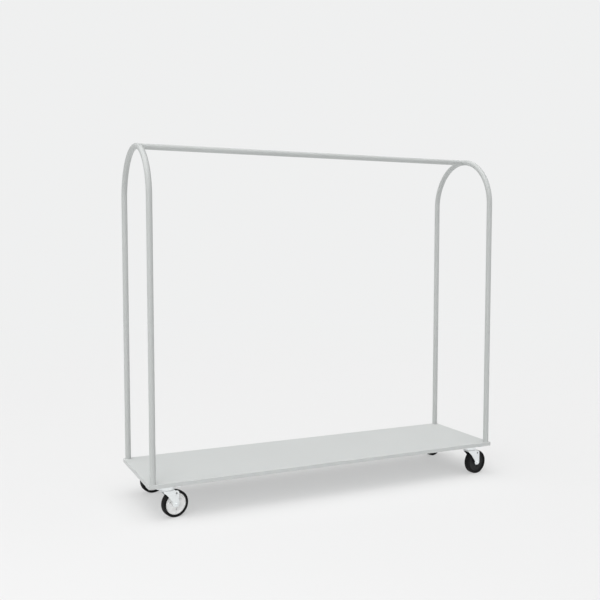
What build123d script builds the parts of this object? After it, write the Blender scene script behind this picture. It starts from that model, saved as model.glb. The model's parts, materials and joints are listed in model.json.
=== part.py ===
from build123d import *
import os
from math import cos, radians, sin

os.makedirs("parts", exist_ok=True)

# Rolling clothes rack: a folded steel tray on four swivel casters, a bent tube hoop standing
# across each end of the tray, and a hanging rail between the tops of the two hoops.
# Millimetres. Z = 0 is the floor, X runs along the rail, Y across it, origin under the middle.

# ---- driving dimensions: frame -------------------------------------------------------------
tray_length = 1500.0
tray_depth = 408.0
tray_edge = 15.0  # height of the folded skirt
sheet = 1.5  # steel sheet and tube wall
caster_height = 126.0  # floor to the caster's mounting face
tray_top = caster_height + tray_edge
tray_bend = 1.0  # outside radius of the folds
lip_width = 8.0  # inward return along the long edges
lip_length = 1180.0

tube_radius = 11.0
tube_bore = tube_radius - sheet
leg_x = 733.0  # hoop planes
leg_y = 192.0  # leg centrelines, also the bend radius of the hoop
bend_z = 1163.0  # where the legs meet the half circle
rail_z = bend_z + leg_y
cope_gap = 0.05  # rail end to hoop

# ---- driving dimensions: parts under the tray ----------------------------------------------
caster_x = 673.0  # swivel axes
caster_y = 160.0
member_web = 100.0  # cross member, a hat section under each end
member_length = 401.0
member_inner_flange = 12.0
member_outer_flange = 22.0
stiffener_web = 50.0
stiffener_flange = 16.0
stiffener_drop = 11.5
stiffener_length = 1190.0

# ---- driving dimensions: fasteners ---------------------------------------------------------
thread_radius = 4.0  # M8
thread_gap = 0.05  # screw in its thread
clearance_radius = 4.25  # M8 through hole
hex_radius = 13.0 / 2 / cos(radians(30))  # corner radius of a 13 mm hexagon
head_height = 5.3
nut_height = 6.5
washer_radius = 8.0
washer_thickness = 1.6
foot_insert_length = 25.0
insert_gap = 0.1
foot_bolt_reach = 20.0  # bolt above the tray's top
caster_screw_length = 13.0
spigot_length = 45.0
spigot_neck_radius = 5.0
spigot_neck_reach = 4.0  # into the hoop's bore
grub_radius = 3.0  # M6 set screw
grub_length = 8.0
grub_sink = 0.4
grub_x = 24.0  # inboard of the hoop's plane

# ---- driving dimensions: caster ------------------------------------------------------------
plate_length = 95.0
plate_width = 67.0
plate_thickness = 2.5
plate_corner = 9.0
plate_pitch_x = 76.0
plate_pitch_y = 46.0
head_radius = 27.0  # pressed head that covers the upper ball race
head_bottom = 108.5
head_wall = 2.0
race_z = 116.75  # underside of the upper race
ball_radius = 3.0
ball_count = 16
ball_circle = 19.5
ball_gap = 0.05
crown_bottom = 103.5
crown_rim = 107.5
crown_top = race_z - 2 * (ball_radius + ball_gap)
crown_raised_radius = 23.5
kingpin_radius = 6.0
running_gap = 0.05
kingpin_flange_radius = 13.0
kingpin_flange_bottom = 98.4
washer_gap = 0.05
thrust_bottom = 101.0

trail = 31.0  # swivel axis to axle, level
wheel_radius = 50.0
tyre_width = 24.0
tyre_bore = 40.5
tyre_shoulder = 3.0
rim_width = 18.0
rim_inner = 35.0
rim_fillet = 0.6
hub_width = 27.0
hub_radius = 13.0
web_thickness = 15.0
web_hole_radius = 2.5
web_hole_circle = 22.0
web_hole_count = 3
bush_outer = 8.0
sleeve_outer = 6.0
fork_gap = 30.0  # between the two legs
fork_sheet = 3.0
leg_end_radius = 10.0
leg_end_flat = 6.0  # level run under the axle, between the two corners
leg_end_angle = 30.0  # where the leg's front edge leaves its front corner
ear_radius = 10.5
ear_height = 41.0  # ear hole above the axle
ear_hole_radius = 3.5
ear_step = 4.0
leg_top_front = (-20.0, 98.5)
leg_top_tangent = (-1.0, 0.5)
leg_top_back = 20.0
leg_waist = (-1.0, 80.5)
axle_head_radius = 6.5
axle_head_height = 3.0
socket_radius = 2.3
socket_depth = 2.0

# Each caster stands where it last rolled to: the angle of its trail, turned from +X towards +Y.
caster_places = {
    "front_left": (-caster_x, -caster_y, 11.0),
    "front_right": (caster_x, -caster_y, 7.0),
    "rear_left": (-caster_x, caster_y, 9.0),
    "rear_right": (caster_x, caster_y, 15.0),
}
leg_feet = [(x, y) for x in (-leg_x, leg_x) for y in (-leg_y, leg_y)]
screw_places = [
    (x + dx, y + dy)
    for x, y, _ in caster_places.values()
    for dx in (-plate_pitch_x / 2, plate_pitch_x / 2)
    for dy in (-plate_pitch_y / 2, plate_pitch_y / 2)
]


def save(piece, node):
    """Label a finished piece and write its STEP file."""
    piece.label = node
    export_step(piece, f"parts/{node}.step")


# ---- tray: folded pan, skirt all round, return lips along the long edges ---------------------
with BuildPart() as tray:
    with BuildSketch(Plane.XY.offset(caster_height)):
        Rectangle(tray_length, tray_depth)
    extrude(amount=tray_edge)
    fillet(tray.edges().filter_by(Axis.Z), tray_bend)
    fillet(tray.faces().sort_by(Axis.Z)[-1].edges(), tray_bend)
    with BuildSketch(Plane.XY.offset(caster_height)):
        Rectangle(tray_length - 2 * sheet, tray_depth - 2 * sheet)
    extrude(amount=tray_edge - sheet, mode=Mode.SUBTRACT)
    with BuildSketch(Plane.XY.offset(caster_height)):
        with GridLocations(0, tray_depth - 2 * sheet - lip_width, 1, 2):
            Rectangle(lip_length, lip_width)
    extrude(amount=sheet)
    with BuildSketch(Plane.XY.offset(tray_top)):
        with Locations(*leg_feet):
            Circle(clearance_radius)
    extrude(amount=-sheet, mode=Mode.SUBTRACT)
save(tray.part, "tray")


# ---- cross members: hat sections that carry the casters and the hoops' feet ------------------
def cross_member(side):
    """Hat section across one end of the tray; side is -1 at the left end and +1 at the right."""
    height = tray_edge - sheet
    middle = caster_height + height / 2
    flange_z = caster_height + height - sheet / 2
    with BuildPart() as member:
        with BuildSketch(Plane.XZ):
            with Locations((side * caster_x, caster_height + sheet / 2)):
                Rectangle(member_web, sheet)
            for edge in (-1, 1):
                with Locations((side * caster_x + edge * (member_web - sheet) / 2, middle)):
                    Rectangle(sheet, height)
            outer_x = side * (caster_x + (member_web + member_outer_flange) / 2)
            with Locations((outer_x, flange_z)):
                Rectangle(member_outer_flange, sheet)
            inner_x = side * (caster_x - (member_web + member_inner_flange) / 2)
            with Locations((inner_x, flange_z)):
                Rectangle(member_inner_flange, sheet)
        extrude(amount=member_length / 2, both=True)
        with BuildSketch(Plane.XY.offset(caster_height)):
            with Locations(*[place for place in screw_places if place[0] * side > 0]):
                Circle(clearance_radius)
        extrude(amount=sheet, mode=Mode.SUBTRACT)
        with BuildSketch(Plane.XY.offset(caster_height + height)):
            with Locations(*[foot for foot in leg_feet if foot[0] * side > 0]):
                Circle(clearance_radius)
        extrude(amount=-sheet, mode=Mode.SUBTRACT)
    return member.part


save(cross_member(-1), "left_cross_member")
save(cross_member(1), "right_cross_member")

# ---- centre stiffener: long hat section that keeps the tray from sagging ----------------------
with BuildPart() as centre_stiffener:
    tray_underside = tray_top - sheet
    with BuildSketch(Plane.YZ):
        with Locations((0, tray_underside - stiffener_drop + sheet / 2)):
            Rectangle(stiffener_web, sheet)
        with Locations((0, tray_underside - stiffener_drop / 2)):
            with GridLocations(stiffener_web - sheet, 0, 2, 1):
                Rectangle(sheet, stiffener_drop)
        with Locations((0, tray_underside - sheet / 2)):
            with GridLocations(stiffener_web + stiffener_flange, 0, 2, 1):
                Rectangle(stiffener_flange, sheet)
    extrude(amount=stiffener_length / 2, both=True)
save(centre_stiffener.part, "centre_stiffener")


# ---- hoops: one bent tube each, two legs joined by a half circle ------------------------------
def hoop(side):
    """Bent tube hoop across one end, with a hole inside its top for the rail's spigot."""
    across = Plane(origin=(side * leg_x, 0, 0), x_dir=(0, 1, 0), z_dir=(1, 0, 0))
    with BuildPart() as bent_tube:
        with BuildLine(across) as path:
            Line((-leg_y, tray_top), (-leg_y, bend_z))
            ThreePointArc((-leg_y, bend_z), (0, rail_z), (leg_y, bend_z))
            Line((leg_y, bend_z), (leg_y, tray_top))
        with BuildSketch(Plane.XY.offset(tray_top)):
            with Locations((side * leg_x, -leg_y)):
                Circle(tube_radius)
                Circle(tube_bore, mode=Mode.SUBTRACT)
        sweep(path=path.wires()[0])
        with BuildSketch(Plane.YZ.offset(side * leg_x)):
            with Locations((0, rail_z)):
                Circle(spigot_neck_radius + thread_gap)
        extrude(amount=-side * (tube_radius + sheet), mode=Mode.SUBTRACT)
    return bent_tube.part


save(hoop(-1), "left_hoop")
save(hoop(1), "right_hoop")


# ---- coping tool: the round of both hoops' tops, used to cut the rail and its spigots ---------
with BuildPart() as coping_tool:
    with BuildSketch(Plane.XZ):
        with Locations((-leg_x, rail_z), (leg_x, rail_z)):
            Circle(tube_radius + cope_gap)
    revolve(axis=Axis((0, 0, bend_z), (1, 0, 0)))

# ---- top rail: straight tube with coped ends, set screw hole under each end -------------------
with BuildPart() as top_rail:
    with BuildSketch(Plane.YZ):
        with Locations((0, rail_z)):
            Circle(tube_radius)
            Circle(tube_bore, mode=Mode.SUBTRACT)
    extrude(amount=leg_x, both=True)
    add(coping_tool.part, mode=Mode.SUBTRACT)
    with BuildSketch(Plane.XY.offset(rail_z - tube_radius - 1)):
        with GridLocations(2 * (leg_x - grub_x), 0, 2, 1):
            Circle(grub_radius + thread_gap)
    extrude(amount=tube_radius - tube_bore / 2, mode=Mode.SUBTRACT)
save(top_rail.part, "top_rail")

# ---- rail spigots: turned plugs that lock each end of the rail to its hoop --------------------
with BuildPart() as rail_spigots:
    for side in (-1, 1):
        with BuildSketch(Plane.YZ.offset(side * leg_x)):
            with Locations((0, rail_z)):
                Circle(tube_bore - insert_gap)
        extrude(amount=-side * spigot_length)
    add(coping_tool.part, mode=Mode.SUBTRACT)
    for side in (-1, 1):
        with BuildSketch(Plane.YZ.offset(side * (leg_x - tube_bore + spigot_neck_reach))):
            with Locations((0, rail_z)):
                Circle(spigot_neck_radius)
        extrude(amount=-side * 2 * spigot_neck_reach)
    with BuildSketch(Plane.XY.offset(rail_z - tube_radius)):
        with GridLocations(2 * (leg_x - grub_x), 0, 2, 1):
            Circle(grub_radius + thread_gap)
    extrude(amount=grub_length + 2, mode=Mode.SUBTRACT)
save(rail_spigots.part, "rail_spigots")

with BuildPart() as rail_grub_screws:
    with BuildSketch(Plane.XY.offset(rail_z - tube_radius + grub_sink)):
        with GridLocations(2 * (leg_x - grub_x), 0, 2, 1):
            Circle(grub_radius)
    extrude(amount=grub_length)
    with BuildSketch(Plane.XY.offset(rail_z - tube_radius + grub_sink)):
        with GridLocations(2 * (leg_x - grub_x), 0, 2, 1):
            RegularPolygon(grub_radius / 2, 6)
    extrude(amount=grub_length / 2, mode=Mode.SUBTRACT)
save(rail_grub_screws.part, "rail_grub_screws")

# ---- hoop feet: threaded inserts in the legs, bolted from below through tray and member -------
with BuildPart() as foot_inserts:
    with BuildSketch(Plane.XY.offset(tray_top)):
        with Locations(*leg_feet):
            Circle(tube_bore - insert_gap)
            Circle(thread_radius + thread_gap, mode=Mode.SUBTRACT)
    extrude(amount=foot_insert_length)
save(foot_inserts.part, "foot_inserts")

foot_seat = tray_top - 2 * sheet
with BuildPart() as foot_washers:
    with BuildSketch(Plane.XY.offset(foot_seat)):
        with Locations(*leg_feet):
            Circle(washer_radius)
            Circle(clearance_radius, mode=Mode.SUBTRACT)
    extrude(amount=-washer_thickness)
save(foot_washers.part, "foot_washers")

with BuildPart() as foot_bolts:
    with BuildSketch(Plane.XY.offset(foot_seat - washer_thickness)):
        with Locations(*leg_feet):
            RegularPolygon(hex_radius, 6)
    extrude(amount=-head_height)
    with BuildSketch(Plane.XY.offset(foot_seat - washer_thickness)):
        with Locations(*leg_feet):
            Circle(thread_radius)
    extrude(amount=washer_thickness + 2 * sheet + foot_bolt_reach)
save(foot_bolts.part, "foot_bolts")

# ---- caster fasteners: hex screws from below into weld nuts on the cross members --------------
with BuildPart() as caster_screws:
    with BuildSketch(Plane.XY.offset(caster_height - plate_thickness)):
        with Locations(*screw_places):
            RegularPolygon(hex_radius, 6)
    extrude(amount=-head_height)
    with BuildSketch(Plane.XY.offset(caster_height - plate_thickness)):
        with Locations(*screw_places):
            Circle(thread_radius)
    extrude(amount=caster_screw_length)
save(caster_screws.part, "caster_screws")

with BuildPart() as caster_weld_nuts:
    with BuildSketch(Plane.XY.offset(caster_height + sheet)):
        with Locations(*screw_places):
            RegularPolygon(hex_radius, 6)
            Circle(thread_radius + thread_gap, mode=Mode.SUBTRACT)
    extrude(amount=nut_height)
save(caster_weld_nuts.part, "caster_weld_nuts")


# ---- casters ----------------------------------------------------------------------------------
def swivel_head(corner, base):
    """Pieces bolted to the frame: top plate with its pressed head, balls, king pin, washer."""
    with BuildPart() as top_plate:
        with BuildSketch(Plane(origin=base.origin).offset(caster_height)):
            RectangleRounded(plate_length, plate_width, plate_corner)
            with GridLocations(plate_pitch_x, plate_pitch_y, 2, 2):
                Circle(clearance_radius, mode=Mode.SUBTRACT)
        extrude(amount=-plate_thickness)
        with BuildSketch(base.offset(caster_height - plate_thickness)):
            Circle(head_radius)
        extrude(amount=head_bottom - caster_height + plate_thickness)
        with BuildSketch(base.offset(head_bottom)):
            Circle(head_radius - head_wall)
        extrude(amount=race_z - head_bottom, mode=Mode.SUBTRACT)
        with BuildSketch(base.offset(race_z)):
            Circle(kingpin_radius)
        extrude(amount=caster_height - race_z, mode=Mode.SUBTRACT)
        fillet(top_plate.faces().sort_by(Axis.Z)[0].outer_wire().edges(), head_wall / 2)
    save(top_plate.part, f"{corner}_top_plate")

    with BuildPart() as ball_ring:
        with Locations(base.offset(race_z - ball_gap - ball_radius)):
            with PolarLocations(ball_circle, ball_count):
                Sphere(ball_radius)
    save(ball_ring.part, f"{corner}_ball_ring")

    with BuildPart() as kingpin:
        with BuildSketch(base.offset(kingpin_flange_bottom)):
            Circle(kingpin_flange_radius)
        extrude(amount=thrust_bottom - kingpin_flange_bottom)
        chamfer(kingpin.faces().sort_by(Axis.Z)[0].edges(), 1.0)
        with BuildSketch(base.offset(thrust_bottom)):
            Circle(kingpin_radius)
        extrude(amount=caster_height - thrust_bottom)
    save(kingpin.part, f"{corner}_kingpin")

    with BuildPart() as thrust_washer:
        with BuildSketch(base.offset(thrust_bottom)):
            Circle(kingpin_flange_radius - 1)
            Circle(kingpin_radius + running_gap, mode=Mode.SUBTRACT)
        extrude(amount=crown_bottom - thrust_bottom - washer_gap)
    save(thrust_washer.part, f"{corner}_thrust_washer")


# Outline of a fork leg, level distance from the swivel axis and height above the floor: a step
# down from the crown, an ear round its hole, a straight back, a blunt end and a slanting front.
leg_back = trail + leg_end_radius
ear_top = wheel_radius + ear_height + ear_radius
ear_centre = (leg_back - ear_radius, ear_top - ear_radius)
leg_end_bottom = wheel_radius - leg_end_radius
leg_end_back = (
    trail + leg_end_radius * cos(radians(45)),
    wheel_radius - leg_end_radius * sin(radians(45)),
)
front_corner = trail - leg_end_flat
leg_end_corner = (
    front_corner - leg_end_radius * cos(radians(45)),
    wheel_radius - leg_end_radius * sin(radians(45)),
)
leg_end_front = (
    front_corner - leg_end_radius * cos(radians(leg_end_angle)),
    wheel_radius + leg_end_radius * sin(radians(leg_end_angle)),
)
leg_end_tangent = (-sin(radians(leg_end_angle)), cos(radians(leg_end_angle)))


def fork_and_axle(corner, base, side):
    """Pieces that swivel: pressed fork, axle bolt, its nut and the sleeve between the legs."""
    with BuildPart() as fork:
        with BuildSketch(base.offset(crown_bottom)):
            Circle(head_radius)
        extrude(amount=crown_rim - crown_bottom)
        with BuildSketch(base.offset(crown_rim)):
            Circle(crown_raised_radius)
        extrude(amount=crown_top - crown_rim)
        for legs in (-fork_gap / 2 - fork_sheet, fork_gap / 2):
            with BuildSketch(side.offset(legs)):
                with BuildLine():
                    Polyline(
                        leg_top_front,
                        (leg_top_front[0], crown_rim),
                        (leg_top_back, crown_rim),
                        (ear_centre[0] - ear_step, ear_top),
                        (ear_centre[0], ear_top),
                    )
                    RadiusArc((ear_centre[0], ear_top), (leg_back, ear_centre[1]), ear_radius)
                    Line((leg_back, ear_centre[1]), (leg_back, wheel_radius))
                    ThreePointArc((leg_back, wheel_radius), leg_end_back, (trail, leg_end_bottom))
                    Line((trail, leg_end_bottom), (front_corner, leg_end_bottom))
                    ThreePointArc((front_corner, leg_end_bottom), leg_end_corner, leg_end_front)
                    Spline(
                        leg_end_front, leg_waist, leg_top_front,
                        tangents=[leg_end_tangent, leg_top_tangent],
                    )
                make_face()
                with Locations((trail, wheel_radius)):
                    Circle(thread_radius + thread_gap, mode=Mode.SUBTRACT)
                with Locations(ear_centre):
                    Circle(ear_hole_radius, mode=Mode.SUBTRACT)
            extrude(amount=fork_sheet)
        with BuildSketch(base.offset(crown_bottom)):
            Circle(kingpin_radius + running_gap)
        extrude(amount=crown_top - crown_bottom, mode=Mode.SUBTRACT)
    save(fork.part, f"{corner}_fork")

    half_fork = fork_gap / 2 + fork_sheet
    with BuildPart() as axle_bolt:
        with BuildSketch(side.offset(half_fork)):
            with Locations((trail, wheel_radius)):
                Circle(axle_head_radius)
        extrude(amount=axle_head_height)
        fillet(axle_bolt.edges().filter_by(GeomType.CIRCLE), 0.8)
        with BuildSketch(side.offset(half_fork + axle_head_height)):
            with Locations((trail, wheel_radius)):
                RegularPolygon(socket_radius, 6)
        extrude(amount=-socket_depth, mode=Mode.SUBTRACT)
        with BuildSketch(side.offset(half_fork)):
            with Locations((trail, wheel_radius)):
                Circle(thread_radius)
        extrude(amount=-2 * half_fork - nut_height - 1)
    save(axle_bolt.part, f"{corner}_axle_bolt")

    with BuildPart() as axle_nut:
        with BuildSketch(side.offset(-half_fork)):
            with Locations((trail, wheel_radius)):
                RegularPolygon(hex_radius, 6)
                Circle(thread_radius + thread_gap, mode=Mode.SUBTRACT)
        extrude(amount=-nut_height)
    save(axle_nut.part, f"{corner}_axle_nut")

    with BuildPart() as axle_sleeve:
        with BuildSketch(side):
            with Locations((trail, wheel_radius)):
                Circle(sleeve_outer)
                Circle(thread_radius + thread_gap, mode=Mode.SUBTRACT)
        extrude(amount=fork_gap / 2, both=True)
    save(axle_sleeve.part, f"{corner}_axle_sleeve")


def wheel_and_tyre(corner, side):
    """Pieces that roll: wheel centre, its pressed-in bush and the tyre moulded round it."""
    centre = side.from_local_coords((trail, wheel_radius, 0))
    axle = Axis(centre, side.z_dir)
    across = Plane(origin=centre, x_dir=side.z_dir, z_dir=side.x_dir)
    with BuildPart() as wheel:
        with BuildSketch(across):
            with Locations((0, (bush_outer + hub_radius) / 2)):
                Rectangle(hub_width, hub_radius - bush_outer)
            with Locations((0, (hub_radius + rim_inner) / 2)):
                Rectangle(web_thickness, rim_inner - hub_radius + 1)
            with Locations((0, (rim_inner + tyre_bore) / 2)):
                Rectangle(rim_width, tyre_bore - rim_inner)
        revolve(axis=axle)
        hub_rings = wheel.edges().filter_by(GeomType.CIRCLE)
        fillet([ring for ring in hub_rings if abs(ring.radius - rim_inner) < 0.01], rim_fillet)
        with BuildSketch(Plane(origin=centre, x_dir=side.x_dir, z_dir=side.z_dir)):
            with PolarLocations(web_hole_circle, web_hole_count, start_angle=41):
                Circle(web_hole_radius)
        extrude(amount=web_thickness, both=True, mode=Mode.SUBTRACT)
    save(wheel.part, f"{corner}_wheel")

    with BuildPart() as bush:
        with BuildSketch(across):
            with Locations((0, (sleeve_outer + running_gap + bush_outer) / 2)):
                Rectangle(hub_width, bush_outer - sleeve_outer - running_gap)
        revolve(axis=axle)
    save(bush.part, f"{corner}_wheel_bush")

    with BuildPart() as tyre:
        with BuildSketch(across):
            with Locations((0, (tyre_bore + wheel_radius) / 2)):
                Rectangle(tyre_width, wheel_radius - tyre_bore)
        revolve(axis=axle)
        rings = tyre.edges().filter_by(GeomType.CIRCLE)
        fillet([ring for ring in rings if abs(ring.radius - wheel_radius) < 0.01], tyre_shoulder)
    save(tyre.part, f"{corner}_tyre")


for corner, (x, y, angle) in caster_places.items():
    turned = (cos(radians(angle)), sin(radians(angle)), 0)
    outward = (sin(radians(angle)), -cos(radians(angle)), 0)
    base = Plane(origin=(x, y, 0), x_dir=turned, z_dir=(0, 0, 1))
    side = Plane(origin=(x, y, 0), x_dir=turned, z_dir=outward)
    swivel_head(corner, base)
    fork_and_axle(corner, base, side)
    wheel_and_tyre(corner, side)
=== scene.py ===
import json
from math import cos, hypot, pi, radians, sin, sqrt

import bmesh
import bpy
from mathutils import Matrix, Vector


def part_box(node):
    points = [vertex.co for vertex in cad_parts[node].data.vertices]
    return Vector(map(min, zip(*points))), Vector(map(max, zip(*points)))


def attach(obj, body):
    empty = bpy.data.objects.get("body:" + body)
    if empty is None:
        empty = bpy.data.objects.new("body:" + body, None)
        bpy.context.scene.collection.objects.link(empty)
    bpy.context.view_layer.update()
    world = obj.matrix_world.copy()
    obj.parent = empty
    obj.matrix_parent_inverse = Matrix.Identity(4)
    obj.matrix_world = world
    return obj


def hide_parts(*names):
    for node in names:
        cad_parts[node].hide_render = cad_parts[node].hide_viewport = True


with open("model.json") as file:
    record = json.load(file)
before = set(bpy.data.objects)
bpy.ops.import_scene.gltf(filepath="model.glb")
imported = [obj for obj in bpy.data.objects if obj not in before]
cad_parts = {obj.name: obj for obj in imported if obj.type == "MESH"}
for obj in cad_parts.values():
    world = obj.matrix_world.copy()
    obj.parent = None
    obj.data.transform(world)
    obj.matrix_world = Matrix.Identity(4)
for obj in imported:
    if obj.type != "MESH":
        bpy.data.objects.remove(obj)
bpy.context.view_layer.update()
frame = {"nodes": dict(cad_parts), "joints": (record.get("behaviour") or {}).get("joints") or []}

nodes = frame["nodes"]
scene = bpy.context.scene

# ---- Hoops --------------------------------------------------------------------------------------
# One length of round steel tube stands across each end of the tray: two straight legs joined by
# a half circle. The tube is bent cold and coated all over with pale grey satin powder, baked on.
TUBE_RADIUS = 0.011
TUBE_SIDES = 96
BEND_STEPS = 72
CROWN_FLAT = 0.0005  # half of the short straight between the two quarter bends
COAT_GREYS = ((0.488, 0.506, 0.499), (0.526, 0.543, 0.535))


def mottled(name, tones, roughness, patches, grain, bump, ends=(0.0, 1.0), metallic=0.0,
            specular=0.5):
    """Material whose colour and roughness drift together in soft patches, under a fine grain.

    tones and roughness give the values at the low and the high end of the patches, and ends the
    levels of the noise at which they lie. patches is the scale, detail and roughness of that
    noise, and bump the strength and depth of the grain.
    """
    finish = bpy.data.materials.new(name)
    finish.use_nodes = True
    tree = finish.node_tree
    shader = tree.nodes["Principled BSDF"]
    place = tree.nodes.new("ShaderNodeTexCoord")
    cloud = tree.nodes.new("ShaderNodeTexNoise")
    cloud.inputs["Scale"].default_value = patches[0]
    cloud.inputs["Detail"].default_value = patches[1]
    cloud.inputs["Roughness"].default_value = patches[2]
    depth = tree.nodes.new("ShaderNodeMapRange")
    depth.inputs["From Min"].default_value = ends[0]
    depth.inputs["From Max"].default_value = ends[1]
    tint = tree.nodes.new("ShaderNodeMix")
    tint.data_type = "RGBA"
    tint.inputs["A"].default_value = (*tones[0], 1.0)
    tint.inputs["B"].default_value = (*tones[1], 1.0)
    sheen = tree.nodes.new("ShaderNodeMapRange")
    sheen.inputs["To Min"].default_value = roughness[0]
    sheen.inputs["To Max"].default_value = roughness[1]
    fine = tree.nodes.new("ShaderNodeTexNoise")
    fine.inputs["Scale"].default_value = grain
    relief = tree.nodes.new("ShaderNodeBump")
    relief.inputs["Strength"].default_value = bump[0]
    relief.inputs["Distance"].default_value = bump[1]
    link = tree.links.new
    link(place.outputs["Object"], cloud.inputs["Vector"])
    link(place.outputs["Object"], fine.inputs["Vector"])
    link(cloud.outputs["Fac"], depth.inputs["Value"])
    link(depth.outputs["Result"], tint.inputs["Factor"])
    link(depth.outputs["Result"], sheen.inputs["Value"])
    link(fine.outputs["Fac"], relief.inputs["Height"])
    link(tint.outputs["Result"], shader.inputs["Base Color"])
    link(sheen.outputs["Result"], shader.inputs["Roughness"])
    link(relief.outputs["Normal"], shader.inputs["Normal"])
    shader.inputs["Metallic"].default_value = metallic
    shader.inputs["Specular IOR Level"].default_value = specular
    return finish


def powder_coat(name, tones, grain):
    """Satin powder coat: a fine orange peel in the surface and faint clouds in the colour."""
    return mottled(name, tones, roughness=(0.36, 0.46), patches=(5.0, 3.0, 0.5), grain=grain,
                   bump=(0.10, 0.0002), specular=0.45)


tube_coat = powder_coat("tube_powder_coat", COAT_GREYS, 900.0)


def open_sockets(tree, result, **inputs):
    """Gives a tree its named inputs, each of its own type, and one geometry output."""
    for name, kind in inputs.items():
        tree.interface.new_socket(name.replace("_", " "), in_out="INPUT",
                                  socket_type="NodeSocket" + kind)
    tree.interface.new_socket(result, in_out="OUTPUT", socket_type="NodeSocketGeometry")


def bent_tube_tree():
    """Geometry Nodes: a round tube along the seed's edges, its corners bent to one radius."""
    tree = bpy.data.node_groups.new("bent_tube", "GeometryNodeTree")
    open_sockets(tree, "Tube", Path="Geometry", Tube_Radius="Float", Tube_Sides="Int",
                 Bend_Radius="Float", Bend_Steps="Int", Finish="Material")
    given = tree.nodes.new("NodeGroupInput")
    made = tree.nodes.new("NodeGroupOutput")
    path = tree.nodes.new("GeometryNodeMeshToCurve")
    bends = tree.nodes.new("GeometryNodeFilletCurve")
    bends.mode = "POLY"
    section = tree.nodes.new("GeometryNodeCurvePrimitiveCircle")
    swept = tree.nodes.new("GeometryNodeCurveToMesh")
    swept.inputs["Fill Caps"].default_value = True
    smooth = tree.nodes.new("GeometryNodeSetShadeSmooth")
    real = tree.nodes.new("GeometryNodeRealizeInstances")
    coated = tree.nodes.new("GeometryNodeSetMaterial")
    link = tree.links.new
    link(given.outputs["Path"], path.inputs["Mesh"])
    link(path.outputs["Curve"], bends.inputs["Curve"])
    link(given.outputs["Bend Radius"], bends.inputs["Radius"])
    link(given.outputs["Bend Steps"], bends.inputs["Count"])
    link(bends.outputs["Curve"], swept.inputs["Curve"])
    link(given.outputs["Tube Sides"], section.inputs["Resolution"])
    link(given.outputs["Tube Radius"], section.inputs["Radius"])
    link(section.outputs["Curve"], swept.inputs["Profile Curve"])
    link(swept.outputs["Mesh"], smooth.inputs["Geometry"])
    link(smooth.outputs["Geometry"], real.inputs["Geometry"])
    link(real.outputs["Geometry"], coated.inputs["Geometry"])
    link(given.outputs["Finish"], coated.inputs["Material"])
    link(coated.outputs["Geometry"], made.inputs["Tube"])
    return tree


def placed(name, data):
    """New object in the scene."""
    piece = bpy.data.objects.new(name, data)
    scene.collection.objects.link(piece)
    return piece


def plain_mesh(thing):
    """Mesh of an object as its modifiers or its curve settings leave it."""
    evaluated = thing.evaluated_get(bpy.context.evaluated_depsgraph_get())
    return bpy.data.meshes.new_from_object(evaluated)


def written(name, work):
    """Mesh of a finished bmesh, which is freed."""
    mesh = bpy.data.meshes.new(name)
    work.to_mesh(mesh)
    work.free()
    return mesh


def grown(name, seed_mesh, tree, inputs):
    """Runs a tree on a seed mesh and keeps the result as a plain mesh object."""
    seed = placed(name + "_seed", seed_mesh)
    modifier = seed.modifiers.new("tree", "NODES")
    modifier.node_group = tree
    for socket in tree.interface.items_tree:
        if socket.in_out == "INPUT" and socket.name in inputs:
            modifier[socket.identifier] = inputs[socket.name]
    mesh = plain_mesh(seed)
    bpy.data.objects.remove(seed)
    return placed(name, mesh)


def stand_for(piece, body, node):
    """The finished piece moves with its body and takes the place of its CAD node."""
    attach(piece, body)
    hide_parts(node)


bent_tube = bent_tube_tree()
for end in ("left", "right"):
    low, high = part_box(f"{end}_hoop")
    hoop_x = (low.x + high.x) / 2
    leg_y = high.y - TUBE_RADIUS
    apex_z = high.z - TUBE_RADIUS
    turns = [(hoop_x, -leg_y, low.z), (hoop_x, -leg_y, apex_z),
             (hoop_x, leg_y, apex_z), (hoop_x, leg_y, low.z)]
    path = bpy.data.meshes.new(f"{end}_hoop_path")
    path.from_pydata(turns, [(0, 1), (1, 2), (2, 3)], [])
    hoop = grown(f"{end}_hoop_tube", path, bent_tube, {
        "Tube Radius": TUBE_RADIUS,
        "Tube Sides": TUBE_SIDES,
        "Bend Radius": leg_y - CROWN_FLAT,
        "Bend Steps": BEND_STEPS,
        "Finish": tube_coat,
    })
    stand_for(hoop, "frame", f"{end}_hoop")

# ---- Hanging rail -------------------------------------------------------------------------------
# A straight length of the same tube between the tops of the hoops. Each end is coped, cut to the
# round of the hoop's bend, so that it closes on the hoop all round with only a hairline between.
COPE_GAP = 0.00005
RAIL_STEP_IN = 0.030  # a second ring behind each coped end keeps the long faces straight


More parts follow.
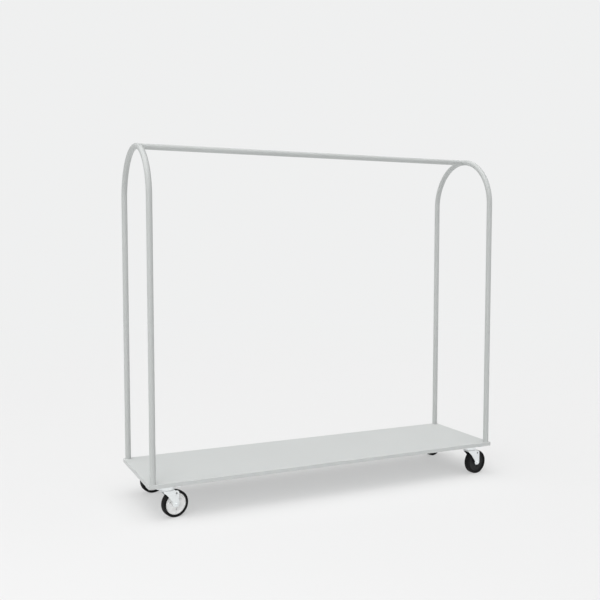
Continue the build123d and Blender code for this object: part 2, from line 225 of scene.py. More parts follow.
def coped_rail():
    """Closed tube whose end rings lie on the hoops' outer surface."""
    hoop_low, hoop_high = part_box("right_hoop")
    hoop_x = (hoop_low.x + hoop_high.x) / 2
    bend_radius = hoop_high.y - TUBE_RADIUS
    rail_z = hoop_high.z - TUBE_RADIUS
    bend_z = rail_z - bend_radius
    work = bmesh.new()
    rings = []
    for side, inset in ((-1, 0), (-1, RAIL_STEP_IN), (1, RAIL_STEP_IN), (1, 0)):
        ring = []
        for step in range(TUBE_SIDES):
            turn = 2 * pi * step / TUBE_SIDES
            y = TUBE_RADIUS * cos(turn)
            z = rail_z + TUBE_RADIUS * sin(turn)
            off_bend = hypot(y, z - bend_z) - bend_radius
            reach = sqrt(max(TUBE_RADIUS ** 2 - off_bend ** 2, 0.0)) + COPE_GAP
            if inset:
                reach = TUBE_RADIUS + inset
            ring.append(work.verts.new((side * (hoop_x - reach), y, z)))
        rings.append(ring)
    for ring, following in zip(rings, rings[1:]):
        for step in range(TUBE_SIDES):
            beside = (step + 1) % TUBE_SIDES
            work.faces.new((ring[step], ring[beside], following[beside], following[step]))
    for side, ring in ((-1, rings[0]), (1, rings[-1])):
        hub = work.verts.new((side * (hoop_x - TUBE_RADIUS - COPE_GAP), 0, rail_z))
        for step in range(TUBE_SIDES):
            work.faces.new((hub, ring[step], ring[(step + 1) % TUBE_SIDES]))
    bmesh.ops.recalc_face_normals(work, faces=work.faces)
    for face in work.faces:
        face.smooth = len(face.verts) == 4
    for edge in work.edges:
        edge.smooth = all(face.smooth for face in edge.link_faces)
    mesh = written("hanging_rail_tube", work)
    mesh.materials.append(tube_coat)
    return placed("hanging_rail_tube", mesh)


stand_for(coped_rail(), "frame", "top_rail")

# ---- Tray and the sections under it -------------------------------------------------------------
# A pan folded from steel sheet with a short skirt all round, over two hat sections that carry
# the casters and one that keeps it from sagging. The same powder coat as the tubes; the tray's
# paler tone is painted light, standing in for the extra light that its top catches.
# Paler than the tubes' greys: painted light for the tray's brightly lit top, not a different
# paint.
TRAY_PAINTED_LIGHT_GREYS = ((0.542, 0.560, 0.554), (0.580, 0.597, 0.590))
SHEET_PEEL = 650.0
tray_coat_painted_light = powder_coat("tray_powder_coat_painted_light", TRAY_PAINTED_LIGHT_GREYS, SHEET_PEEL)
under_coat = powder_coat("under_powder_coat", COAT_GREYS, SHEET_PEEL)


def refinish(node, finish):
    """Gives a carried-over node its finish and leaves its mesh as it is."""
    materials = nodes[node].data.materials
    materials.clear()
    materials.append(finish)


refinish("tray", tray_coat_painted_light)
for node in ("left_cross_member", "right_cross_member", "centre_stiffener"):
    refinish(node, under_coat)

# ---- Screws, bolts and the small steel parts ----------------------------------------------------
# Sixteen hexagon screws hold the casters and four hold the hoops' feet, all from below and all
# bright zinc plated. Inserts, spigots and nuts are turned from bar and left bare, and the set
# screws under the rail are blackened.
HEX_ACROSS = 0.013
HEAD_HEIGHT = 0.0053
THREAD_RADIUS = 0.004
SCREW_SIDES = 48
THREAD_CHAMFER = 0.0008
WASHER_FACE = 0.0004  # the thin round face under a hexagon head
FACE_SHARE = 0.95  # how wide the round face of a hexagon is, for its width across flats
HEX_SLOPE = 0.58  # its corners are taken off at 30 degrees
ZINC_TONES = ((0.820, 0.850, 0.858), (0.900, 0.925, 0.930))
STEEL_TONES = ((0.480, 0.475, 0.465), (0.560, 0.555, 0.545))
OXIDE_TONES = ((0.035, 0.035, 0.037), (0.055, 0.055, 0.058))


def plated_metal(name, tones, roughness, grain):
    """Bare or plated metal: two close tones in soft patches, and a fine grain in the surface."""
    return mottled(name, tones, roughness, patches=(140.0, 4.0, 0.5), grain=grain,
                   bump=(0.12, 0.0001), metallic=1.0)


zinc = plated_metal("bright_zinc", ZINC_TONES, (0.40, 0.24), 1500.0)
bare_steel = plated_metal("turned_steel", STEEL_TONES, (0.42, 0.28), 2200.0)
black_oxide = plated_metal("black_oxide", OXIDE_TONES, (0.52, 0.38), 2200.0)


def turned(levels, sides, bored=False):
    """Solid about Z from (height, round radius, hexagon across flats or None).

    Where a level has both, the hexagon is cut back to the round, which is how a head is chamfered.
    A bored solid runs from its last level back to its first, and any other is closed at its ends.
    """
    work = bmesh.new()
    rings = []
    for height, round_radius, across in levels:
        ring = []
        for step in range(sides):
            turn = 2 * pi * step / sides
            radius = round_radius
            if across:
                off_flat = (turn % (pi / 3)) - pi / 6
                radius = min(round_radius, across / 2 / cos(off_flat))
            ring.append(work.verts.new((radius * cos(turn), radius * sin(turn), height)))
        rings.append(ring)
    for ring, following in zip(rings, rings[1:] + rings[:1] if bored else rings[1:]):
        for step in range(sides):
            beside = (step + 1) % sides
            work.faces.new((ring[step], ring[beside], following[beside], following[step]))
    for ring in () if bored else (rings[0], rings[-1]):
        middle = work.verts.new((0, 0, ring[0].co.z))
        for step in range(sides):
            work.faces.new((middle, ring[step], ring[(step + 1) % sides]))
    bmesh.ops.recalc_face_normals(work, faces=work.faces)
    return work


def chamfer(face_z, inward, across):
    """Levels of the cone that takes the corners off a hexagon, from its face inwards."""
    face_radius = across / 2 * FACE_SHARE
    corner = across / 2 / cos(pi / 6)
    steps = 5
    return [
        (face_z + inward * HEX_SLOPE * (corner - face_radius) * step / steps,
         face_radius + (corner - face_radius) * step / steps, across)
        for step in range(steps + 1)
    ]


def hex_screw(name, shank):
    """Hexagon screw with its head below the seat at Z = 0 and its shank above."""
    face_radius = HEX_ACROSS / 2 * FACE_SHARE
    levels = chamfer(-HEAD_HEIGHT, 1, HEX_ACROSS)
    levels += [(-WASHER_FACE, HEX_ACROSS, HEX_ACROSS), (-WASHER_FACE, face_radius, None),
               (0, face_radius, None), (0, THREAD_RADIUS, None),
               (shank - THREAD_CHAMFER, THREAD_RADIUS, None),
               (shank, THREAD_RADIUS - THREAD_CHAMFER, None)]
    return written(name, turned(levels, SCREW_SIDES))


def screw_set_tree():
    """Geometry Nodes: one screw on every vertex of the seed, each turned its own way."""
    tree = bpy.data.node_groups.new("screw_set", "GeometryNodeTree")
    open_sockets(tree, "Screws", Places="Geometry", Screw="Object", Seed="Int",
                 Finish="Material")
    given = tree.nodes.new("NodeGroupInput")
    made = tree.nodes.new("NodeGroupOutput")
    screw = tree.nodes.new("GeometryNodeObjectInfo")
    turns = tree.nodes.new("FunctionNodeRandomValue")
    turns.data_type = "FLOAT_VECTOR"
    turns.inputs["Min"].default_value = (0, 0, 0)
    turns.inputs["Max"].default_value = (0, 0, 2 * pi)
    spread = tree.nodes.new("GeometryNodeInstanceOnPoints")
    real = tree.nodes.new("GeometryNodeRealizeInstances")
    plated = tree.nodes.new("GeometryNodeSetMaterial")
    link = tree.links.new
    link(given.outputs["Places"], spread.inputs["Points"])
    link(given.outputs["Screw"], screw.inputs["Object"])
    link(screw.outputs["Geometry"], spread.inputs["Instance"])
    link(given.outputs["Seed"], turns.inputs["Seed"])
    link(turns.outputs["Value"], spread.inputs["Rotation"])
    link(spread.outputs["Instances"], real.inputs["Geometry"])
    link(real.outputs["Geometry"], plated.inputs["Geometry"])
    link(given.outputs["Finish"], plated.inputs["Material"])
    link(plated.outputs["Geometry"], made.inputs["Screws"])
    return tree


def shade_by_angle(piece, angle=35):
    """Smooth where faces nearly line up, crisp at the true edges."""
    for face in piece.data.polygons:
        face.use_smooth = True
    piece.data.set_sharp_from_angle(angle=radians(angle))


def screw_row(name, places, seat_z, shank, seed):
    """A set of like screws, their heads under seat_z."""
    pattern = placed(name + "_pattern", hex_screw(name + "_pattern", shank))
    seats = bpy.data.meshes.new(name + "_seats")
    seats.from_pydata([(x, y, seat_z) for x, y in places], [], [])
    row = grown(name, seats, screw_set, {"Screw": pattern, "Seed": seed, "Finish": zinc})
    bpy.data.objects.remove(pattern)
    shade_by_angle(row)
    return row


screw_set = screw_set_tree()
PLATE_PITCH_X = 0.076
PLATE_PITCH_Y = 0.046
WASHER_RADIUS = 0.008
joints = {joint["name"]: joint for joint in frame["joints"]}
corners = [name.removesuffix("_caster_swivel") for name in joints
           if name.endswith("_caster_swivel")]
pivots = {corner: Vector((*joints[f"{corner}_caster_swivel"]["pos_m"][:2], 0))
          for corner in corners}
plate_holes = [(dx, dy) for dx in (-PLATE_PITCH_X / 2, PLATE_PITCH_X / 2)
               for dy in (-PLATE_PITCH_Y / 2, PLATE_PITCH_Y / 2)]
screw_low, screw_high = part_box("caster_screws")
screws = screw_row(
    "caster_hex_screws",
    [(pivot.x + dx, pivot.y + dy) for pivot in pivots.values() for dx, dy in plate_holes],
    screw_low.z + HEAD_HEIGHT, screw_high.z - screw_low.z - HEAD_HEIGHT, seed=4)
stand_for(screws, "frame", "caster_screws")

bolt_low, bolt_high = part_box("foot_bolts")
washer_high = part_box("foot_washers")[1]
foot_x = washer_high.x - WASHER_RADIUS
foot_y = washer_high.y - WASHER_RADIUS
bolts = screw_row(
    "foot_hex_bolts", [(x, y) for x in (-foot_x, foot_x) for y in (-foot_y, foot_y)],
    bolt_low.z + HEAD_HEIGHT, bolt_high.z - bolt_low.z - HEAD_HEIGHT, seed=9)
stand_for(bolts, "frame", "foot_bolts")

refinish("foot_washers", zinc)
refinish("rail_grub_screws", black_oxide)
for node in ("foot_inserts", "rail_spigots", "caster_weld_nuts"):
    refinish(node, bare_steel)

# ---- Caster top plates --------------------------------------------------------------------------
# A stamped plate bolted under the cross member, with a round head pressed down from its middle
# over the upper row of balls. Bright zinc plated like the whole of the caster's metal.
PLATE_LENGTH = 0.095
PLATE_WIDTH = 0.067
PLATE_THICKNESS = 0.0025
PLATE_CORNER = 0.009
BOLT_HOLE = 0.00425
HEAD_RADIUS = 0.027
HEAD_WALL = 0.002
HEAD_FILLET = 0.004
HEAD_LIP = 0.0009
HEAD_OVERLAP = 0.001  # how far the head runs into the plate, where the two melt together
RACE_Z = 0.11675
RACE_CORNER = 0.0015
KINGPIN_RADIUS = 0.006
EDGE_ROUND = 0.0004
ARC_STEPS = 8


def rounded_loop(points):
    """Closed outline from (x, y, corner radius), each corner turned into a short arc."""
    outline = []
    count = len(points)
    for index, (x, y, radius) in enumerate(points):
        here = Vector((x, y))
        back = Vector(points[index - 1][:2]) - here
        ahead = Vector(points[(index + 1) % count][:2]) - here
        if radius <= 0:
            outline.append((x, y))
            continue
        back_way = back.normalized()
        ahead_way = ahead.normalized()
        half_turn = back_way.angle(ahead_way) / 2
        reach = min(radius / abs(sin(half_turn) / cos(half_turn)), back.length * 0.49,
                    ahead.length * 0.49)
        start = here + back_way * reach
        finish = here + ahead_way * reach
        for step in range(ARC_STEPS + 1):
            share = step / ARC_STEPS
            point = start * (1 - share) ** 2 + here * 2 * share * (1 - share) + finish * share ** 2
            outline.append((point.x, point.y))
    return outline


def round_hole(x, y, radius, sides=32):
    """Closed outline of a round hole."""
    return [(x + radius * cos(2 * pi * k / sides), y + radius * sin(2 * pi * k / sides))
            for k in range(sides)]


def stamped_sheet(name, loops, thickness, edge_round, place):
    """Flat plate with rounded edges from an outline and its holes, its middle plane at Z = 0."""
    drawing = bpy.data.curves.new(name, "CURVE")
    drawing.dimensions = "2D"
    drawing.fill_mode = "BOTH"
    drawing.extrude = thickness / 2 - edge_round
    drawing.bevel_depth = edge_round
    drawing.bevel_resolution = 2
    drawing.offset = -edge_round
    for loop in loops:
        spline = drawing.splines.new("POLY")
        spline.points.add(len(loop) - 1)
        for point, (x, y) in zip(spline.points, loop):
            point.co = (x, y, 0, 1)
        spline.use_cyclic_u = True
    blank = placed(name, drawing)
    mesh = plain_mesh(blank)
    bpy.data.objects.remove(blank)
    work = bmesh.new()
    work.from_mesh(mesh)
    bmesh.ops.remove_doubles(work, verts=work.verts, dist=1e-6)
    bmesh.ops.recalc_face_normals(work, faces=work.faces)
    bmesh.ops.transform(work, matrix=place, verts=work.verts)
    work.to_mesh(mesh)
    work.free()
    return mesh


def spun_ring(name, outline, place, sides=96):
    """Closed ring about Z from an outline of (radius, height) that stays clear of the axis."""
    work = bmesh.new()
    rings = []
    for step in range(sides):
        turn = 2 * pi * step / sides
        rings.append([work.verts.new((r * cos(turn), r * sin(turn), h)) for r, h in outline])
    for step in range(sides):
        ring = rings[step]
        following = rings[(step + 1) % sides]
        for index in range(len(outline)):
            beside = (index + 1) % len(outline)
            work.faces.new((ring[index], following[index], following[beside], ring[beside]))
    bmesh.ops.recalc_face_normals(work, faces=work.faces)
    bmesh.ops.transform(work, matrix=place, verts=work.verts)
    return written(name, work)


def with_tool(body, operation, tool):
    """Adds an exact boolean of the tool to the body's modifiers."""
    modifier = body.modifiers.new(operation.lower(), "BOOLEAN")
    modifier.operation = operation
    modifier.solver = "EXACT"
    modifier.object = tool


def merged(name, meshes, finish):
    """One piece from several closed meshes, melted together where they overlap."""
    bodies = [placed(f"{name}_{index}", mesh) for index, mesh in enumerate(meshes)]
    base = bodies[0]
    for other in bodies[1:]:
        with_tool(base, "UNION", other)
    mesh = plain_mesh(base)
    for part in bodies:
        bpy.data.objects.remove(part)
    piece = placed(name, mesh)
    mesh.materials.clear()
    mesh.materials.append(finish)
    shade_by_angle(piece)
    return piece


def head_profile(head_bottom, plate_underside):
    """Section of the pressed head: race floor inside, rolled lip below, fillet into the plate."""
    sunk = plate_underside + HEAD_OVERLAP
    return rounded_loop([
        (KINGPIN_RADIUS, RACE_Z, 0),
        (KINGPIN_RADIUS, sunk, 0),
        (HEAD_RADIUS + HEAD_FILLET, sunk, 0),
        (HEAD_RADIUS + HEAD_FILLET, plate_underside, 0),
        (HEAD_RADIUS, plate_underside, HEAD_FILLET),
        (HEAD_RADIUS, head_bottom, HEAD_LIP),
        (HEAD_RADIUS - HEAD_WALL, head_bottom, HEAD_LIP),
        (HEAD_RADIUS - HEAD_WALL, RACE_Z, RACE_CORNER),
    ])


for corner, pivot in pivots.items():
    low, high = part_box(f"{corner}_top_plate")
    plate_outline = rounded_loop([
        (PLATE_LENGTH / 2 * a, PLATE_WIDTH / 2 * b, PLATE_CORNER)
        for a, b in ((-1, -1), (1, -1), (1, 1), (-1, 1))])
    loops = [plate_outline, round_hole(0, 0, KINGPIN_RADIUS)]
    loops += [round_hole(x, y, BOLT_HOLE) for x, y in plate_holes]
    plate = stamped_sheet(
        "plate", loops, PLATE_THICKNESS, EDGE_ROUND,
        Matrix.Translation(pivot + Vector((0, 0, high.z - PLATE_THICKNESS / 2))))
    head = spun_ring("head", head_profile(low.z, high.z - PLATE_THICKNESS),
                     Matrix.Translation(pivot))
    piece = merged(f"{corner}_stamped_plate", [plate, head], zinc)
    stand_for(piece, "frame", f"{corner}_top_plate")
    for node in ("ball_ring", "kingpin", "thrust_washer"):
        refinish(f"{corner}_{node}", zinc)

# ---- Caster forks -------------------------------------------------------------------------------
# Pressed from three millimetre sheet: a round crown that runs on the lower row of balls and two
# legs folded down from it, each with an ear round a spare hole. Zinc plated after pressing.
TRAIL = 0.031
AXLE_Z = 0.050
FORK_GAP = 0.030
FORK_SHEET = 0.003
CROWN_BOTTOM = 0.1035
CROWN_RIM = 0.1075
CROWN_TOP = 0.11065
CROWN_RAISED = 0.0235
LEG_ROOT = 0.020
LEG_ROOT_Z = 0.0985
LEG_WAIST = (-0.001, 0.0805)
LEG_END = 0.010
LEG_END_FLAT = 0.006
LEG_STEPS = 10
CROWN_SINK = 0.0005  # the legs stop this far under the crown's rim
KINGPIN_GAP = 0.00005
EAR_SLOPE = 0.004
EAR_RADIUS = 0.0105
EAR_Z = 0.091
EAR_HOLE = 0.0035


def arc_points(x, y, radius, start, end, steps):
    """Points of an arc, angles in degrees."""
    return [(x + radius * cos(radians(start + (end - start) * k / steps)),
             y + radius * sin(radians(start + (end - start) * k / steps)))
            for k in range(steps + 1)]


def smooth_run(start, start_way, end, end_way, steps):
    """Points of an S between two ends, leaving and arriving along the given ways."""
    run = []
    for step in range(1, steps):
        t = step / steps
        ahead = 1 - t
        run.append(tuple(
            start[i] * ahead ** 3 + (start[i] + start_way[i]) * 3 * ahead ** 2 * t
            + (end[i] - end_way[i]) * 3 * ahead * t ** 2 + end[i] * t ** 3 for i in (0, 1)))
    return run


def leg_outline():
    """Fork leg seen from the side, level distance from the swivel axis and height."""
    back = TRAIL + LEG_END
    ear = (back - EAR_RADIUS, EAR_Z)
    ear_top = ear[1] + EAR_RADIUS
    root = (-LEG_ROOT, LEG_ROOT_Z)
    leg_top = CROWN_RIM - CROWN_SINK
    outline = [root, (-LEG_ROOT, leg_top), (LEG_ROOT, leg_top), (ear[0] - EAR_SLOPE, ear_top)]
    outline += arc_points(*ear, EAR_RADIUS, 90, 0, 16)
    outline += arc_points(TRAIL, AXLE_Z, LEG_END, 0, -90, 12)
    outline += arc_points(TRAIL - LEG_END_FLAT, AXLE_Z, LEG_END, -90, -210, 16)
    # The slanting front: up from the end to the waist, then outwards to the root.
    outline += smooth_run(outline[-1], (-0.0050, 0.0087), LEG_WAIST, (-0.0045, 0.0060), LEG_STEPS)
    outline += [LEG_WAIST]
    outline += smooth_run(LEG_WAIST, (-0.0055, 0.0073), root, (-0.0070, 0.0040), LEG_STEPS)
    return outline, ear


def across_frame(corner):
    """Turn that lays a drawing's X along the trail, its Y upright and its Z along the axle."""
    trail = Vector(joints[f"{corner}_wheel_spin"]["pos_m"]) - pivots[corner]
    along = Vector((trail.x, trail.y, 0)).normalized()
    outward = Vector((along.y, -along.x, 0))
    return Matrix((along, Vector((0, 0, 1)), outward)).transposed().to_4x4()


def on_axle(corner):
    """Place of a round part that is drawn about Z and runs on the caster's axle."""
    return Matrix.Translation(joints[f"{corner}_wheel_spin"]["pos_m"]) @ across_frame(corner)


for corner, pivot in pivots.items():
    outline, ear = leg_outline()
    loops = [outline, round_hole(*ear, EAR_HOLE)]
    meshes = []
    for side in (-1, 1):
        reach = Vector((0, 0, side * (FORK_GAP + FORK_SHEET) / 2))
        place = Matrix.Translation(pivot) @ across_frame(corner) @ Matrix.Translation(reach)
        meshes.append(stamped_sheet("leg", loops, FORK_SHEET, EDGE_ROUND, place))
    crown = rounded_loop([
        (KINGPIN_RADIUS + KINGPIN_GAP, CROWN_BOTTOM, 0),
        (KINGPIN_RADIUS + KINGPIN_GAP, CROWN_TOP, 0),
        (CROWN_RAISED, CROWN_TOP, 0.0012),
        (CROWN_RAISED, CROWN_RIM, 0.0012),
        (HEAD_RADIUS, CROWN_RIM, 0.0010),
        (HEAD_RADIUS, CROWN_BOTTOM, 0.0016),
    ])
    meshes.append(spun_ring("crown", crown, Matrix.Translation(pivot)))
    fork = merged(f"{corner}_pressed_fork", meshes, zinc)
    stand_for(fork, f"{corner}_swivel", f"{corner}_fork")

# ---- Axles --------------------------------------------------------------------------------------
# A bolt through both fork legs and a steel sleeve, its round head with a hexagon socket on the
# outer side and a chamfered hexagon nut on the inner side. Both are bright zinc plated.
AXLE_HEAD_RADIUS = 0.0065
AXLE_HEAD_HEIGHT = 0.0030
AXLE_HEAD_ROUND = 0.0012
AXLE_EDGE = 0.0003
AXLE_TAIL = 0.001  # thread that stands out of the nut
SOCKET_ACROSS = 0.0040
SOCKET_DEPTH = 0.0020
SOCKET_MOUTH = 1.25  # the round lead-in, for the socket's width across flats
NUT_HEIGHT = 0.0065
NUT_BORE = 0.00405
NUT_LEAD_IN = 0.0004
half_fork = FORK_GAP / 2 + FORK_SHEET


def axle_bolt_levels():
    """Levels of the axle bolt from its thread end to the floor of its socket."""
    end = -half_fork - NUT_HEIGHT - AXLE_TAIL
    top = half_fork + AXLE_HEAD_HEIGHT
    wide = AXLE_HEAD_RADIUS
    levels = [(end, THREAD_RADIUS - THREAD_CHAMFER, None),
              (end + THREAD_CHAMFER, THREAD_RADIUS, None),
              (half_fork, THREAD_RADIUS, None), (half_fork, wide - AXLE_EDGE, None),
              (half_fork + AXLE_EDGE, wide, None)]
    levels += [(top - AXLE_HEAD_ROUND * (1 - sin(radians(turn))),
                wide - AXLE_HEAD_ROUND * (1 - cos(radians(turn))), None)
               for turn in (0, 18, 36, 54, 72, 90)]
    levels += [(top, SOCKET_ACROSS / 2 * SOCKET_MOUTH, None),
               (top - AXLE_EDGE, wide, SOCKET_ACROSS), (top - SOCKET_DEPTH, wide, SOCKET_ACROSS)]
    return levels


def axle_nut_levels():
    """Levels of the nut round and back through its bore, from the fork outwards."""
    outer_face = -half_fork - NUT_HEIGHT
    seat = chamfer(-half_fork, -1, HEX_ACROSS)
    free = chamfer(outer_face, 1, HEX_ACROSS)
    return seat + free[::-1] + [(outer_face, NUT_BORE + NUT_LEAD_IN, None),
                                (outer_face + NUT_LEAD_IN, NUT_BORE, None),
                                (-half_fork, NUT_BORE, None)]


for corner in corners:
    at_axle = on_axle(corner)
    for node, levels, bored in (("axle_bolt", axle_bolt_levels(), False),
                                ("axle_nut", axle_nut_levels(), True)):
        work = turned(levels, SCREW_SIDES, bored)
        bmesh.ops.transform(work, matrix=at_axle, verts=work.verts)
        mesh = written(node, work)
        mesh.materials.append(zinc)
        piece = placed(f"{corner}_{node}_detailed", mesh)
        shade_by_angle(piece)
        stand_for(piece, f"{corner}_swivel", f"{corner}_{node}")
    refinish(f"{corner}_axle_sleeve", bare_steel)

# ---- Wheel centres ------------------------------------------------------------------------------
# Moulded in one piece of hard plastic, white on the left pair of casters and black on the right:
# a hub round the nylon bush, a web with three small holes, and a rim that the tyre grips.
BUSH_OUTER = 0.008
HUB_HALF = 0.0135
HUB_RADIUS = 0.013
WEB_HALF = 0.0075
RIM_INNER = 0.035
RIM_HALF = 0.009
HUB_DRAFT = 0.0004  # the slight taper that lets the wheel out of its mould
RIM_DRAFT = 0.0006
TYRE_BORE = 0.0405
WEB_HOLE = 0.0025
WEB_HOLE_CIRCLE = 0.022
WEB_HOLE_START = 41
WEB_HOLE_PIN = 0.01  # half the length of the pins that cut the holes
WHEEL_SIDES = 128
WHEEL_SMOOTH = 40  # degrees up to which the wheel's edges are shaded smooth


def moulded(name, tones, rough, speckle, grain, specular=0.5):
    """Moulded plastic or rubber: faint scuffs in soft patches over a fine moulded grain."""
    return mottled(name, tones, roughness=(rough, rough + 0.18), patches=(speckle, 6.0, 0.65),
                   grain=grain, bump=(0.15, 0.00015), ends=(0.42, 0.72), specular=specular)


white_plastic = moulded("white_plastic", ((0.90, 0.905, 0.90), (0.82, 0.825, 0.825)),
                        rough=0.34, speckle=60, grain=1600)
black_plastic = moulded("black_plastic", ((0.013, 0.0135, 0.014), (0.022, 0.022, 0.023)),
                        rough=0.40, speckle=60, grain=1600, specular=0.25)
nylon = moulded("nylon", ((0.62, 0.61, 0.56), (0.52, 0.51, 0.47)),
                rough=0.40, speckle=90, grain=1800)


def both_sides(half):
    """Whole section from its half on one side of the wheel's middle plane."""
    return rounded_loop(half + [(r, -h, fillet) for r, h, fillet in reversed(half)])


def wheel_centre_mesh():
    """Turned section round the axle with rounded corners, still without its holes."""
    half = [
        (BUSH_OUTER, HUB_HALF, 0.0003),
        (HUB_RADIUS - HUB_DRAFT, HUB_HALF, 0.0010),
        (HUB_RADIUS, WEB_HALF, 0.0020),
        (RIM_INNER, WEB_HALF, 0.0012),
        (RIM_INNER + RIM_DRAFT, RIM_HALF, 0.0008),
        (TYRE_BORE, RIM_HALF, 0.0004),
    ]
    return spun_ring("centre", both_sides(half), Matrix.Identity(4), WHEEL_SIDES)


def drilled(name, mesh, place, finish):
    """Cuts the three web holes and lays the wheel centre on its axle."""
    blank = placed(name + "_blank", mesh)
    pins = []
    for index in range(3):
        turn = radians(WEB_HOLE_START + index * 120)
        work = turned([(-WEB_HOLE_PIN, WEB_HOLE, None), (WEB_HOLE_PIN, WEB_HOLE, None)], 32)
        spot = Vector((WEB_HOLE_CIRCLE * cos(turn), WEB_HOLE_CIRCLE * sin(turn), 0))
        bmesh.ops.translate(work, vec=spot, verts=work.verts)
        pins.append(placed("pin", written("pin", work)))
        with_tool(blank, "DIFFERENCE", pins[-1])
    centre = plain_mesh(blank)
    for piece in pins + [blank]:
        bpy.data.objects.remove(piece)
    centre.transform(place)
    centre.materials.clear()
    centre.materials.append(finish)
    piece = placed(name, centre)
    shade_by_angle(piece, WHEEL_SMOOTH)
    return piece


for corner in corners:
    finish, slot = ((white_plastic, "white_wheel") if corner.endswith("left")
                    else (black_plastic, "black_wheel"))
    piece = drilled(f"{corner}_wheel_centre", wheel_centre_mesh(), on_axle(corner), finish)
    stand_for(piece, f"{corner}_rolling_wheel", f"{corner}_wheel")
    refinish(f"{corner}_wheel_bush", nylon)

# ---- Tyres --------------------------------------------------------------------------------------
# A thin band of black rubber moulded on the rim, with round shoulders, a shallow groove round each
# side wall and two fine grooves round the tread.
TYRE_RADIUS = 0.050
TYRE_HALF = 0.012
SHOULDER = 0.0032
WALL_GROOVE = (0.0016, 0.0020, 0.0026, 0.0030)  # its lips and its floor, outwards from the bore
TREAD_GROOVE = (0.0056, 0.0053, 0.0049, 0.0046)  # the same, inwards from the side
TREAD_HALF = 0.0068
GROOVE_DEPTH = 0.0005
LIP = 0.0002
rubber = moulded("black_rubber", ((0.005, 0.005, 0.0055), (0.014, 0.014, 0.0145)),
                 rough=0.56, speckle=45, grain=1300, specular=0.14)


def tyre_section():
    """Section of the tyre: radius and half width, bore first, round over the tread and back."""
    floor_half = TYRE_HALF - GROOVE_DEPTH
    floor_radius = TYRE_RADIUS - GROOVE_DEPTH
    half = [(TYRE_BORE, TYRE_HALF, 0.0005)]
    half += [(TYRE_BORE + out, across, LIP) for out, across
             in zip(WALL_GROOVE, (TYRE_HALF, floor_half, floor_half, TYRE_HALF))]
    half += [(TYRE_RADIUS - 0.0003, TYRE_HALF, SHOULDER), (TYRE_RADIUS, TREAD_HALF, 0.0006)]
    half += [(radius, across, 0) for radius, across
             in zip((TYRE_RADIUS, floor_radius, floor_radius, TYRE_RADIUS), TREAD_GROOVE)]
    return both_sides(half)


for corner in corners:
    mesh = spun_ring("tyre", tyre_section(), on_axle(corner), WHEEL_SIDES)
    mesh.materials.append(rubber)
    piece = placed(f"{corner}_rubber_tyre", mesh)
    shade_by_angle(piece, WHEEL_SMOOTH)
    stand_for(piece, f"{corner}_rolling_wheel", f"{corner}_tyre")

# ---- Studio -------------------------------------------------------------------------------------
# A pale floor with a little glow of its own, which runs out into an even surround, under broad
# soft lights: most of it from overhead, the front and the left. Shiny faces see a brighter
# surround than the dim one that lights the matt faces.
SURROUND = (0.866, 0.870, 0.870, 1.0)
AMBIENT = (0.060, 0.060, 0.060, 1.0)
REFLECTED = (0.540, 0.540, 0.540, 1.0)
FLOOR_SHADE = (0.400, 0.401, 0.401, 1.0)
FLOOR_GLOW = 0.414
FLOOR_RADIUS = 60.0
FADE_START = 1.6
FADE_END = 7.0

disc = bmesh.new()
bmesh.ops.create_circle(disc, cap_ends=True, segments=128, radius=FLOOR_RADIUS)
floor_mesh = written("studio_floor", disc)
floor = placed("studio_floor", floor_mesh)
floor_finish = bpy.data.materials.new("studio_floor")
floor_finish.use_nodes = True
tree = floor_finish.node_tree
tree.nodes.clear()
place = tree.nodes.new("ShaderNodeTexCoord")
distance = tree.nodes.new("ShaderNodeVectorMath")
distance.operation = "LENGTH"
fade = tree.nodes.new("ShaderNodeMapRange")
fade.interpolation_type = "SMOOTHERSTEP"
fade.inputs["From Min"].default_value = FADE_START
fade.inputs["From Max"].default_value = FADE_END
matt = tree.nodes.new("ShaderNodeBsdfDiffuse")
matt.inputs["Color"].default_value = FLOOR_SHADE
glow = tree.nodes.new("ShaderNodeEmission")
glow.inputs["Strength"].default_value = FLOOR_GLOW
near = tree.nodes.new("ShaderNodeAddShader")
far = tree.nodes.new("ShaderNodeEmission")
far.inputs["Color"].default_value = SURROUND
spread = tree.nodes.new("ShaderNodeMixShader")
surface = tree.nodes.new("ShaderNodeOutputMaterial")
link = tree.links.new
link(place.outputs["Object"], distance.inputs[0])
link(distance.outputs["Value"], fade.inputs["Value"])
link(fade.outputs["Result"], spread.inputs["Fac"])
link(matt.outputs["BSDF"], near.inputs[0])
link(glow.outputs["Emission"], near.inputs[1])
link(near.outputs["Shader"], spread.inputs[1])
link(far.outputs["Emission"], spread.inputs[2])
link(spread.outputs["Shader"], surface.inputs["Surface"])
floor_mesh.materials.append(floor_finish)

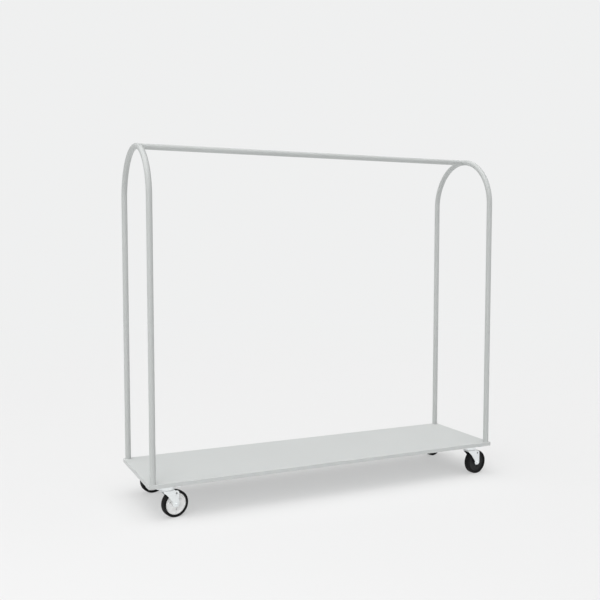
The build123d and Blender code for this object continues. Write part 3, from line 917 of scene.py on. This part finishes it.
world = bpy.data.worlds.new("studio")
scene.world = world
world.use_nodes = True
sky = world.node_tree
sky.nodes.clear()
seen = sky.nodes.new("ShaderNodeBackground")
seen.inputs["Color"].default_value = SURROUND
lighting = sky.nodes.new("ShaderNodeBackground")
lighting.inputs["Color"].default_value = AMBIENT
mirrored = sky.nodes.new("ShaderNodeBackground")
mirrored.inputs["Color"].default_value = REFLECTED
ray = sky.nodes.new("ShaderNodeLightPath")
gleam = sky.nodes.new("ShaderNodeMixShader")
choose = sky.nodes.new("ShaderNodeMixShader")
horizon = sky.nodes.new("ShaderNodeOutputWorld")
sky.links.new(ray.outputs["Is Glossy Ray"], gleam.inputs["Fac"])
sky.links.new(lighting.outputs["Background"], gleam.inputs[1])
sky.links.new(mirrored.outputs["Background"], gleam.inputs[2])
sky.links.new(ray.outputs["Is Camera Ray"], choose.inputs["Fac"])
sky.links.new(gleam.outputs["Shader"], choose.inputs[1])
sky.links.new(seen.outputs["Background"], choose.inputs[2])
sky.links.new(choose.outputs["Shader"], horizon.inputs["Surface"])


def soft_light(name, towards, strength, spread):
    """Very broad light from far off; towards points from the rack to the light."""
    lamp = bpy.data.lights.new(name, "SUN")
    lamp.energy = strength
    lamp.angle = radians(spread)
    placed(name, lamp).rotation_euler = Vector(towards).to_track_quat("Z", "Y").to_euler()


soft_light("overhead", (0, 0, 1), 0.93, 75)
soft_light("left_top", (-0.6, 0, 0.8), 1.44, 80)
soft_light("front_top", (0, -0.6, 0.8), 0.85, 80)
soft_light("front", (0, -0.4, 0.92), 0.58, 80)
soft_light("right_side", (0.95, 0, 0.3), 0.22, 40)
panel = bpy.data.lights.new("front_left_panel", "AREA")
panel.energy = 18.0
panel.size = 1.6
panel_at = Vector((-2.6, -2.4, 1.6))
panel_aim = Vector((-0.7, 0, 0.4))
panel_fitting = placed("front_left_panel", panel)
panel_fitting.location = panel_at
panel_fitting.rotation_euler = (panel_at - panel_aim).to_track_quat("Z", "Y").to_euler()

# ---- Camera -------------------------------------------------------------------------------------
CAMERA_AT = (-1.4393, -2.9515, 0.9956)
CAMERA_DIP = 0.0697  # radians below level
CAMERA_TURN = -0.4358  # radians from straight along Y
camera_data = bpy.data.cameras.new("camera")
camera_data.sensor_width = 36.0
camera_data.lens = 48.03
camera_data.clip_end = 200.0
camera = placed("camera", camera_data)
camera.location = CAMERA_AT
camera.rotation_euler = (pi / 2 - CAMERA_DIP, 0.0, CAMERA_TURN)
scene.camera = camera
scene.view_settings.view_transform = "Standard"
scene.view_settings.look = "None"
